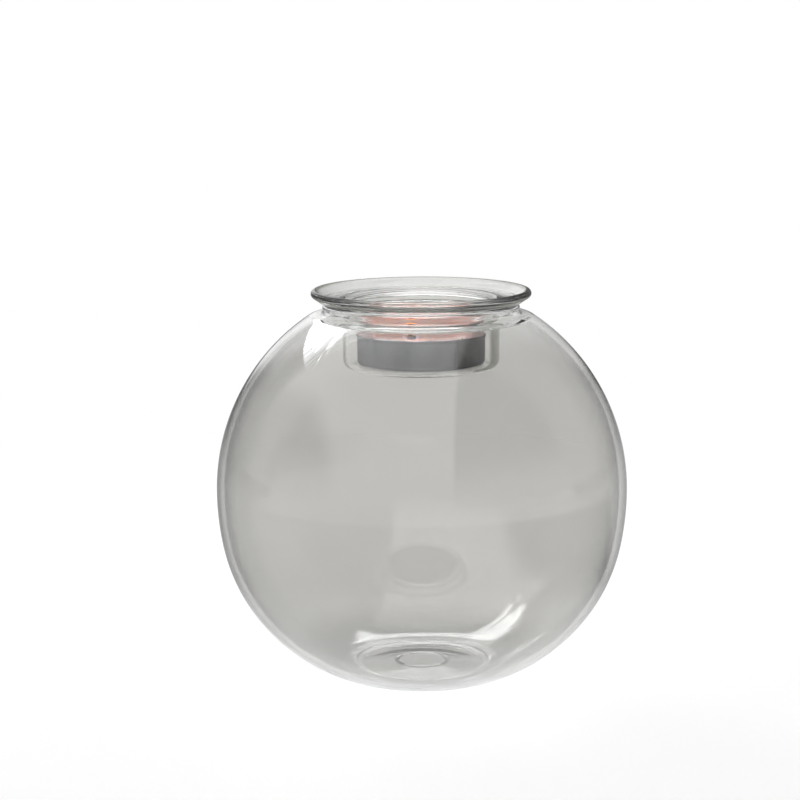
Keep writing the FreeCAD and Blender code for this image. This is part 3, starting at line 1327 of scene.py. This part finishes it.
@dataclass(frozen=True)
class Crumbs:
    """Small crumbs of wax in the pool and on the metal cup's lip."""

    pool_level: float
    lip_level: float
    wax: CandleWax
    seed: int = 11
    in_pool: int = 6
    pool_place: Point = (2.6, -1.2)
    pool_size: float = 0.28
    on_lip: int = 7
    lip_start: float = -50.0
    lip_step: float = 5.5
    lip_reach: float = 18.7
    lip_sizes: Span = (0.3, 0.62)
    flatness: float = 0.7
    rows: int = 7
    sides: int = 12

    def build(self) -> bpy.types.Object:
        """Scatter the crumbs and dress them.

        Returns:
            All the crumbs as one piece.
        """
        dice = random.Random(self.seed)
        spots = []
        for _ in range(self.in_pool):
            across = self.pool_place[0] + dice.uniform(-1.4, 1.6)
            along = self.pool_place[1] + dice.uniform(-1.6, 1.6)
            spots.append((Vector((across, along, self.pool_level + 0.1)), self.pool_size))
        for index in range(self.on_lip):
            degrees = self.lip_start + self.lip_step * index + dice.uniform(-2.0, 2.0)
            angle = math.radians(degrees)
            reach = self.lip_reach + dice.uniform(-0.2, 0.25)
            across, along = reach * math.cos(angle), reach * math.sin(angle)
            place = Vector((across, along, self.lip_level + 0.05))
            spots.append((place, dice.uniform(*self.lip_sizes)))
        vertices: list = []
        faces: list = []
        for place, size in spots:
            self._lump(vertices, faces, place, size)
        return add_piece("wax_crumbs", vertices, faces, self.wax, Slot.WAX)

    def _lump(self, vertices: list, faces: list, centre: Vector, size: float) -> None:
        """Add one rough lump.

        Args:
            vertices: The mesh's corners, added to.
            faces: The mesh's faces, added to.
            centre: Middle of the lump.
            size: Half its width.
        """
        rows, sides, flatness = self.rows, self.sides, self.flatness
        first = len(vertices)
        for row in range(1, rows):
            tilt = math.pi * row / rows
            for side in range(sides):
                turn = math.tau * side / sides
                across, along = math.sin(tilt) * math.cos(turn), math.sin(tilt) * math.sin(turn)
                way = Vector((across, along, math.cos(tilt)))
                reach = size * (1.0 + 0.45 * noise.noise(way * 1.6 + centre))
                vertices.append(tuple(centre + Vector((across, along, way.z * flatness)) * reach))
        top, bottom = len(vertices), len(vertices) + 1
        vertices += [tuple(centre + up * size * flatness * UP) for up in (1.0, -1.0)]
        last = first + (rows - 2) * sides
        for side in range(sides):
            after = (side + 1) % sides
            faces.append((top, first + side, first + after))
            for here in range(first, last, sides):
                there = here + sides
                faces.append((here + side, there + side, there + after, here + after))
            faces.append((bottom, last + after, last + side))


@dataclass(frozen=True)
class Flame:
    """The small flame round the wick."""

    pool_level: float
    place: float = -3.1
    clearance: float = 0.35
    width: float = 2.35
    height: float = 5.0
    lean: float = 0.02
    glow_power: float = 0.003
    glow_colour: Colour = (1.0, 0.72, 0.45)
    glow_size: float = 1.5
    segments: int = 48

    def build(self) -> bpy.types.Object:
        """Shape the flame and light it.

        Returns:
            The flame.
        """
        low = self.pool_level + self.clearance
        high = low + self.height
        section: Section = [(0.0, low)]
        for step in range(1, self.segments):
            share = step / self.segments
            body = math.sqrt(1.0 - share**2.6) * min(1.0, 0.8 + 1.4 * share)
            section.append((self.width * body, low + self.height * share))
        section.append((0.0, high))
        vertices, faces = turned(section, self.segments)
        moved = [(x + self.place - self.lean * (z - low), y, z) for x, y, z in vertices]
        glow = FlameGlow(
            name="flame_glow",
            foot=(0.85, 0.72, 0.95),
            middle=(0.95, 0.80, 0.88),
            tip=(2.2, 0.85, 0.2),
            low=low,
            high=high,
        )
        piece = add_piece("flame", moved, faces, glow)
        piece.visible_shadow = False
        light = bpy.data.lights.new("flame_light", "POINT")
        light.energy = self.glow_power
        light.color = self.glow_colour
        light.shadow_soft_size = self.glow_size * MM
        lamp = bpy.data.objects.new("flame_light", light)
        lamp.location = (self.place * MM, 0.0, (low + 0.8 * self.height) * MM)
        lamp.visible_camera = lamp.visible_glossy = lamp.visible_transmission = False
        bpy.context.scene.collection.objects.link(lamp)
        return piece


# Studio.


@dataclass(frozen=True)
class Studio:
    """The pale floor, the white surround, the window light and the camera, in metres.

    Attributes:
        floor_radius: Size of the floor.
        floor_sides: Number of its sides.
        floor_colour: Its colour.
        floor_lift: Light that it gives near the object to what looks at it.
        lit_reach: Distances between which it turns plain white.
        floor_shine: Its level in glossy surfaces near the object, behind it and in front.
        shine_reach: Distances between which that level takes over.
        front_reach: Distances between which it turns from near to front.
        back_reach: Distances between which it turns from near to behind.
        dark_side: Angles from the front between which a dark strip shows in the glass.
        dark_blur: Half the width of the strip's soft sides, in degrees.
        dark_reach: Distances at which the strip fades in and out.
        dark_share: How much of the floor the strip covers.
        dark_level: Its level.
        middle_line: Places along between which behind turns to in front.
        room_level: Level of the surround as plain light.
        room_shine: Its level in glossy surfaces.
        front_dim: How much darker it is there in front.
        overhead: Heights between which it counts as overhead.
        behind: Places along between which it counts as behind.
        behind_rise: Angles up between which that ends.
        back_dim: How much darker it is there low behind, but for the middle.
        middle_sides: Where the middle behind begins and ends across.
        middle_shine: What the middle behind adds.
        horizon_level: What a low band in front adds.
        horizon_rise: Angles up between which the band ends.
        panel_level: What a panel in front adds in glossy surfaces.
        panel_through: What a panel behind adds through glass.
        panel_sides: Where the panels begin and end across.
        panel_rise: Angles up between which the panel behind begins.
        panel_back: Where the panel behind ends.
        window_size: Width and height of the window.
        window_place: Where its middle is, aside and up from its way.
        window_way: Way from the object to the window.
        window_reach: How far away it is.
        aim_height: Height of the place on the object at which it is aimed.
        window_colour: Its colour.
        sill_slope: Slope of its sill.
        sill_edge: Where the sill is.
        side_slope: Slope of its side.
        side_edge: Where the side is.
        thread_count: Streaks along the side and along the sill.
        inside_edges: Where its image inside the glass begins and ends upward.
        inside_slant: Where the slanted side of that image is.
        inside_end: Where its far end is.
        barb_count: Streaks of that image across and along.
        globe_level: Its brightness in the globe.
        inside_level: How much of that shows on the inside of the glass.
        lid_level: Its brightness in the lid.
        soft_size: Width and height of the soft light.
        soft_place: Where its middle is.
        soft_level: Its brightness.
        eye: Where the camera is.
        pitch: How far it looks up, in degrees.
        turn: How far it is turned to the left.
        roll: How far it is tilted.
        focal_pixels: Its focal length in pixels of the photograph.
    """

    floor_radius: float = 9.0
    floor_sides: int = 96
    floor_colour: Colour = (0.80, 0.80, 0.80)
    floor_lift: float = 0.34
    lit_reach: Span = (0.16, 0.42)
    floor_shine: Triple = (0.50, 0.18, 0.95)
    shine_reach: Span = (0.05, 0.12)
    front_reach: Span = (0.36, 0.42)
    back_reach: Span = (0.25, 1.2)
    dark_side: Span = (42.0, 120.0)
    dark_blur: float = 5.73
    dark_reach: Edges = (0.07, 0.14, 0.32, 0.46)
    dark_share: float = 0.9
    dark_level: float = 0.3
    middle_line: Span = (-0.1, 0.1)
    room_level: float = 0.45
    room_shine: float = 0.5
    front_dim: float = 0.6
    overhead: Span = (0.25, 0.6)
    behind: Span = (0.3, 0.6)
    behind_rise: Span = (20.0, 40.0)
    back_dim: float = 0.65
    middle_sides: Edges = (-0.42, -0.28, -0.1, 0.0)
    middle_shine: float = 0.5
    horizon_level: float = 0.55
    horizon_rise: Span = (2.0, 26.0)
    panel_level: float = 0.35
    panel_through: float = 2.3
    panel_sides: Edges = (-0.87, -0.71, 0.27, 0.33)
    panel_rise: Span = (4.0, 28.0)
    panel_back: Span = (0.35, 0.5)
    window_size: Span = (1.34, 1.15)
    window_place: Point = (-0.215, 0.1)
    window_way: Triple = (-0.406, 0.579, 0.707)
    window_reach: float = 1.0
    aim_height: float = 0.06
    window_colour: Colour = (0.95, 0.98, 1.0)
    sill_slope: float = 0.58
    sill_edge: Span = (-0.272, -0.252)
    side_slope: float = 0.86
    side_edge: Span = (0.20, 0.48)
    thread_count: Point = (34.0, 1.6)
    inside_edges: Edges = (-0.19, -0.11, 0.04, 0.12)
    inside_slant: Span = (-0.12, -0.08)
    inside_end: Span = (-0.86, -0.72)
    barb_count: Point = (2.5, 17.0)
    globe_level: float = 9.0
    inside_level: float = 2.3
    lid_level: float = 0.35
    soft_size: Span = (0.86, 0.77)
    soft_place: Point = (-0.13, 0.165)
    soft_level: float = 3.6
    eye: Triple = (0.0, -0.700, 0.20367)
    pitch: float = -9.661
    turn: float = 0.531
    roll: float = 0.3
    focal_pixels: float = 2341.7

    def floor(self) -> None:
        """Lay the floor: pale, and lifted to white for what looks at it."""
        material = bpy.data.materials.new("pale_floor")
        material.use_nodes = True
        tree = Tree(material.node_tree)
        camera = tree.ray("Is Camera Ray")
        through = camera + tree.ray("Is Transmission Ray")
        shine = (tree.ray("Is Glossy Ray") - through).most(0.0)
        seen = (through + shine).least(1.0)
        across, along, _ = tree.axes(tree.place())
        reach = distance(across, along)
        plain = tree.node("ShaderNodeBsdfDiffuse", None, {"Color": rgba(self.floor_colour)})
        lit = {0: plain.outputs[0], 1: tree.glow(seen * self.floor_lift)}
        shader = tree.node("ShaderNodeAddShader", None, lit).outputs[0]
        shader = tree.blend(reach.rise(*self.lit_reach) * seen, shader, tree.glow(1.0))
        near, back, ahead = self.floor_shine
        front = along.fall(*self.middle_line)
        shown = (near + (ahead - near) * reach.rise(*self.front_reach)) * front
        shown = shown + (near + (back - near) * reach.rise(*self.back_reach)) * (1.0 - front)
        shader = tree.blend(shine * reach.rise(*self.shine_reach), shader, tree.glow(shown))
        side = across.maths("ARCTAN2", along * -1.0).maths("DEGREES")
        (start, stop), blur = self.dark_side, self.dark_blur
        dark = side.between((start - blur, start + blur, stop - blur, stop + blur))
        dark = dark * (seen - camera) * reach.between(self.dark_reach) * self.dark_share
        tree.end(tree.blend(dark, shader, tree.glow(self.dark_level)))
        mesh = bpy.data.meshes.new("studio_floor")
        turns = [math.tau * index / self.floor_sides for index in range(self.floor_sides)]
        ring = [Vector((math.cos(turn), math.sin(turn), 0.0)) for turn in turns]
        ring = [self.floor_radius * corner for corner in ring]
        mesh.from_pydata(ring, [], [range(len(ring))])
        mesh.materials.append(material)
        floor = bpy.data.objects.new("studio_floor", mesh)
        bpy.context.scene.collection.objects.link(floor)

    def surround(self) -> None:
        """Set the world: white to the camera and through glass, a plain grey light elsewhere."""
        world = bpy.data.worlds.new("surround")
        bpy.context.scene.world = world
        world.use_nodes = True
        tree = Tree(world.node_tree)
        camera = tree.ray("Is Camera Ray")
        seen = camera + tree.ray("Is Transmission Ray")
        shine = tree.ray("Is Glossy Ray")
        across, along, above = tree.axes(tree.node("ShaderNodeTexCoord").outputs["Generated"])
        rising = above.maths("ARCSINE").maths("DEGREES")
        overhead = above.rise(*self.overhead)
        front = along.fall(*self.middle_line)
        panel = across.between(self.panel_sides)
        inside = panel * rising.rise(*self.panel_rise) * along.fall(*self.panel_back)
        horizon = front * rising.fall(*self.horizon_rise) * self.horizon_level
        dimmed = 1.0 - self.front_dim * front
        through = (1.0 - 0.4 * overhead) * dimmed + horizon + self.panel_through * inside
        middle = across.between(self.middle_sides)
        behind = along.rise(*self.behind) * rising.fall(*self.behind_rise)
        mirrored = (self.room_shine + 0.1 * overhead) * dimmed
        mirrored = mirrored * (1.0 - self.back_dim * behind * (1.0 - middle))
        mirrored = mirrored + self.middle_shine * behind * middle
        mirrored = mirrored + horizon + self.panel_level * panel * front
        level = (1.0 - seen.most(shine)) * self.room_level + seen.least(1.0) * through
        level = level + (1.0 - seen).most(0.0) * shine * mirrored
        level = level * (1.0 - camera) + camera
        back = tree.node("ShaderNodeBackground", None, {"Color": level, "Strength": 1.0})
        tree.end(back.outputs[0], "ShaderNodeOutputWorld")

    def window(
        self,
        name: str,
        level: float,
        torn: bool,
        back: float,
        lit: Sequence[bpy.types.Object] = (),
    ) -> None:
        """Hang a light in the window behind and to the left.

        Args:
            name: Name of the light.
            level: Brightness of the window.
            torn: Whether it is the bright window that shows in glossy surfaces, slanted
                and streaked like a thin blind. Otherwise it is plain and only lights.
            back: How far behind the window the light hangs.
            lit: The pieces on which alone it shines, if only some are lit.
        """
        light = bpy.data.lights.new(name, "AREA")
        light.shape = "RECTANGLE"
        light.size, light.size_y = size = self.window_size if torn else self.soft_size
        place = self.window_place if torn else self.soft_place
        light.energy = level * size[0] * size[1] * math.pi
        lamp = bpy.data.objects.new(name, light)
        way = Vector(self.window_way).normalized()
        aside = UP.cross(way).normalized()
        upward = way.cross(aside)
        lamp.location = way * (self.window_reach + back) + self.aim_height * UP
        lamp.location += aside * place[0] + upward * place[1]
        lamp.rotation_mode = "QUATERNION"
        lamp.rotation_quaternion = way.to_track_quat("Z", "Y")
        lamp.visible_camera = False
        if torn:
            light.color = self.window_colour
            lamp.visible_diffuse = False
            self._tear(light)
        else:
            lamp.visible_glossy = lamp.visible_transmission = False
        bpy.context.scene.collection.objects.link(lamp)
        if lit:
            lamp.light_linking.receiver_collection = bpy.data.collections.new(name + "_on")
            for piece in lit:
                lamp.light_linking.receiver_collection.objects.link(piece)

    def _tear(self, light: bpy.types.Light) -> None:
        """Slant and streak a window light, as it shows outside and inside the globe.

        Args:
            light: The light.
        """
        light.use_nodes = True
        tree = Tree(light.node_tree)
        across, along, _ = tree.axes(tree.node("ShaderNodeNewGeometry").outputs["Parametric"])
        across = (across - 0.5) * self.window_size[0] + self.window_place[0]
        along = (along - 0.5) * self.window_size[1] + self.window_place[1]
        sill, frame_side = along - self.sill_slope * across, across + self.side_slope * along
        by_side, by_sill = self.thread_count
        threads = tree.streaks(frame_side * by_side, sill * by_sill, 0.0)
        loose = threads - 0.5
        outside = (sill + 0.02 * loose).rise(*self.sill_edge)
        outside = outside * (frame_side + loose).fall(*self.side_edge)
        outside = outside * (0.45 + threads.rise(0.35, 0.65))
        outside = outside * (1.0 - 0.5 * frame_side.rise(-0.1, 0.45))
        barbs = tree.streaks(across * self.barb_count[0], along * self.barb_count[1], 5.0)
        rough = barbs - 0.5
        widening = (across * -1.0 - 0.15).most(0.0) * 0.5
        inside = (along + 0.12 * rough).rise(*self.inside_edges[:2])
        inside = inside * (along - widening + 0.12 * rough).fall(*self.inside_edges[2:])
        inside = inside * (0.4 * along - 0.75 * across + 1.1 * rough).rise(*self.inside_slant)
        inside = inside * (across + 0.15 * rough).rise(*self.inside_end)
        inside = self.inside_level * inside * (0.5 + barbs.rise(0.3, 0.7))
        through = tree.ray("Transmission Depth").least(1.0)
        shown = outside * (1.0 - through) + inside * through
        tree.end(tree.glow(shown), "ShaderNodeOutputLight")

    def camera(self) -> None:
        """Stand the camera where the photograph was taken from."""
        data = bpy.data.cameras.new("camera")
        data.sensor_width = 36.0
        data.lens = self.focal_pixels / PHOTO_WIDTH * data.sensor_width
        data.clip_start, data.clip_end = 0.01, 100.0
        camera = bpy.data.objects.new("camera", data)
        pitch, turn = math.radians(self.pitch), math.radians(self.turn)
        level = Vector((-math.sin(turn), math.cos(turn), 0.0))
        forward = level * math.cos(pitch) + UP * math.sin(pitch)
        aim = forward.to_track_quat("-Z", "Y").to_matrix()
        roll = Matrix.Rotation(math.radians(self.roll), 3, forward)
        camera.matrix_world = Matrix.Translation(self.eye) @ (roll @ aim).to_4x4()
        bpy.context.scene.collection.objects.link(camera)
        bpy.context.scene.camera = camera

    def build(self, lid: bpy.types.Object, others: Sequence[bpy.types.Object]) -> None:
        """Set up the studio.

        Args:
            lid: The glass lid, in which the window shows softer.
            others: The pieces in which it shows in full.
        """
        bpy.context.scene.view_settings.view_transform = "Standard"
        self.floor()
        self.surround()
        self.window("soft_light", self.soft_level, False, 0.08)
        self.window("window_light", self.globe_level, True, 0.0, others)
        self.window("window_on_lid", self.lid_level, True, 0.04, [lid])
        self.camera()


def main() -> None:
    """Build the candle holder and its studio, piece by piece."""
    logging.basicConfig(level=logging.INFO, format="%(name)s: %(message)s")
    globe = Globe()
    lid = Lid(globe)
    tin = MetalCup(lid.seat)
    wax = Wax(tin)
    glass = [globe.build(), lid.build()]
    for piece in glass:
        piece.visible_shadow = False
    solids = [tin.build(), wax.build()]
    Wick(wax.pool_level).build()
    Crumbs(wax.pool_level, tin.lip_level, wax.wax).build()
    Flame(wax.pool_level).build()
    cycles = bpy.context.scene.cycles
    cycles.max_bounces = cycles.transmission_bounces = BOUNCES
    cycles.transparent_max_bounces = BOUNCES
    cycles.glossy_bounces = 12
    Studio().build(glass[1], [glass[0], *solids])
    bpy.context.view_layer.update()


if __name__ == "__main__":
    main()
